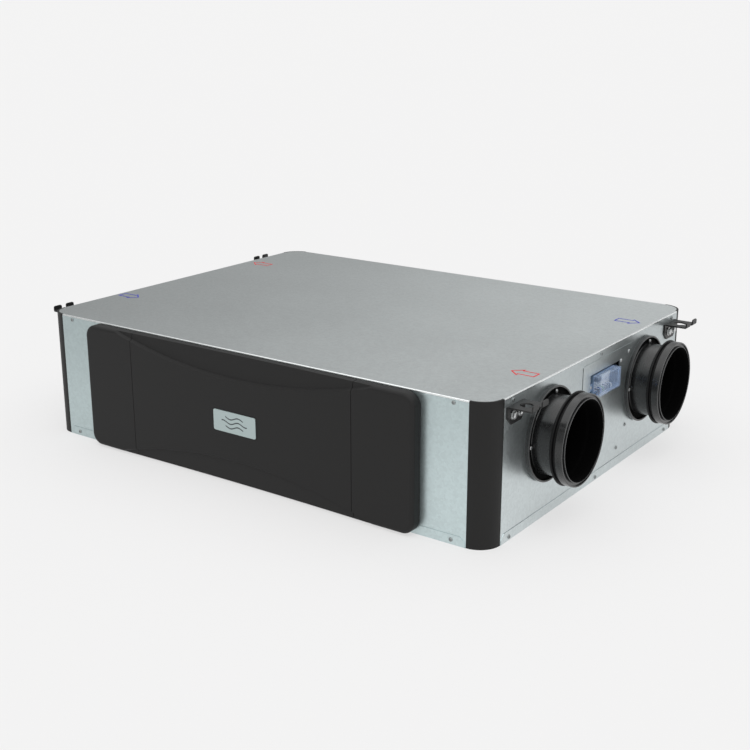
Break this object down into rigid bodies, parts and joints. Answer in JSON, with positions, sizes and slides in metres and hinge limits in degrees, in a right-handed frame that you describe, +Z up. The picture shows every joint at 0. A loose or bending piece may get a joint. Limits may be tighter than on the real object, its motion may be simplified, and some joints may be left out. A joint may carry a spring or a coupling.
{
  "type": "heat recovery unit",
  "caption": "Flat ceiling heat recovery ventilation unit: sheet steel casing, black front fascia with pull-off filter covers, round duct spigots and hanging brackets.",
  "frame": {"origin": "centre of the casing's flat underside", "axes": "+Z up, +X towards the duct side with the electrical connection, -Y towards the fascia and filters"},
  "size_m": [1.158, 0.8011, 0.2502],
  "materials": {
    "galvanised_sheet": "galvanised sheet with a fine spangle, satin",
    "black_profile": "matt black powder coat",
    "zinc_steel": "bright zinc plated",
    "black_moulding": "finely textured black moulding",
    "dark_plastic": "satin",
    "silver_badge": "brushed",
    "black_bracket": "matt black coat on folded steel",
    "grey_plastic": "satin",
    "clear_plastic": "clear polycarbonate with a blue cast",
    "light_plastic": "satin",
    "circuit_board": "solder mask",
    "moulded_foam": "bead foam",
    "exchanger_plates": "thin thermoformed plates",
    "filter_fleece": "pleated fleece",
    "motor_metal": "cast",
    "fan_plastic": "glass filled plastic",
    "spigot_plastic": "satin black",
    "seal_rubber": "satin black lip seal",
    "red_ink": "printed label",
    "blue_ink": "printed label"
  },
  "bodies": {
    "casing": {"access_plate": "galvanised_sheet", "access_plate_screws": "zinc_steel", "bottom_cover": "galvanised_sheet", "bracket_bolts": "zinc_steel", "bracket_washers": "zinc_steel", "bypass_actuator": "dark_plastic", "bypass_frame": "galvanised_sheet", "casing_screws": "zinc_steel", "condensate_tray": "dark_plastic", "controller_board": "circuit_board", "corner_profile_front_left": "black_profile", "corner_profile_front_right": "black_profile", "corner_profile_rear_left": "black_profile", "corner_profile_rear_right": "black_profile", "drain_spout": "dark_plastic", "exchanger_frame": "dark_plastic", "exchanger_plate_pack": "exchanger_plates", "exhaust_fan_motor": "motor_metal", "exhaust_fan_scroll": "dark_plastic", "fascia_clips": "dark_plastic", "flow_arrows_blue": "blue_ink", "flow_arrows_red": "red_ink", "foam_lower": "moulded_foam", "foam_upper": "moulded_foam", "front_panel": "galvanised_sheet", "hanging_bracket_front_left": "black_bracket", "hanging_bracket_front_right": "black_bracket", "hanging_bracket_rear_left": "black_bracket", "hanging_bracket_rear_right": "black_bracket", "left_side_panel": "galvanised_sheet", "rear_panel": "galvanised_sheet", "right_side_panel": "galvanised_sheet", "seal_ring_exhaust_air": "seal_rubber", "seal_ring_extract_air": "seal_rubber", "seal_ring_outdoor_air": "seal_rubber", "seal_ring_supply_air": "seal_rubber", "spigot_exhaust_air": "spigot_plastic", "spigot_extract_air": "spigot_plastic", "spigot_outdoor_air": "spigot_plastic", "spigot_screws": "zinc_steel", "spigot_supply_air": "spigot_plastic", "supply_fan_motor": "motor_metal", "supply_fan_scroll": "dark_plastic", "terminal_block": "light_plastic", "terminal_box_base": "grey_plastic", "top_panel": "galvanised_sheet"},
    "supply_impeller": {"supply_fan_impeller": "fan_plastic"},
    "exhaust_impeller": {"exhaust_fan_impeller": "fan_plastic"},
    "bypass_flap": {"bypass_flap": "galvanised_sheet"},
    "cap_left": {"fascia_cap_left": "black_moulding"},
    "cap_right": {"fascia_cap_right": "black_moulding"},
    "centre_cover": {"fascia_centre_cover": "black_moulding", "badge_plate": "silver_badge"},
    "filter_left": {"filter_frame_left": "light_plastic", "filter_media_left": "filter_fleece"},
    "filter_right": {"filter_frame_right": "light_plastic", "filter_media_right": "filter_fleece"},
    "terminal_lid": {"terminal_box_lid": "clear_plastic"}
  },
  "joints": [
    {"name": "supply_fan_spin", "type": "hinge", "parent": "casing", "child": "supply_impeller", "pos_m": [0.34, 0.25, 0.15], "axis": [0, 0, 1], "continuous": true},
    {"name": "exhaust_fan_spin", "type": "hinge", "parent": "casing", "child": "exhaust_impeller", "pos_m": [-0.34, 0.25, 0.15], "axis": [0, 0, 1], "continuous": true},
    {"name": "bypass_flap_turn", "type": "hinge", "parent": "casing", "child": "bypass_flap", "pos_m": [0.16272, -0.07963, 0.2175], "axis": [-0.5145, -0.8575, 0], "range_deg": [0, 90]},
    {"name": "cap_left_pull", "type": "slide", "parent": "casing", "child": "cap_left", "axis": [0, -1, 0], "range_m": [0, 0.42]},
    {"name": "cap_right_pull", "type": "slide", "parent": "casing", "child": "cap_right", "axis": [0, -1, 0], "range_m": [0, 0.42]},
    {"name": "filter_left_slide", "type": "slide", "parent": "casing", "child": "filter_left", "axis": [0, -1, 0], "range_m": [0, 0.36]},
    {"name": "filter_right_slide", "type": "slide", "parent": "casing", "child": "filter_right", "axis": [0, -1, 0], "range_m": [0, 0.36]},
    {"name": "centre_cover_pull", "type": "slide", "parent": "casing", "child": "centre_cover", "axis": [0, -1, 0], "range_m": [0, 0.06]},
    {"name": "terminal_lid_pull", "type": "slide", "parent": "casing", "child": "terminal_lid", "axis": [1, 0, 0], "range_m": [0, 0.04]}
  ],
  "couplings": [
    {"joint": "filter_left_slide", "follows": "cap_left_pull", "ratio": 0.85},
    {"joint": "filter_right_slide", "follows": "cap_right_pull", "ratio": 0.85}
  ]
}
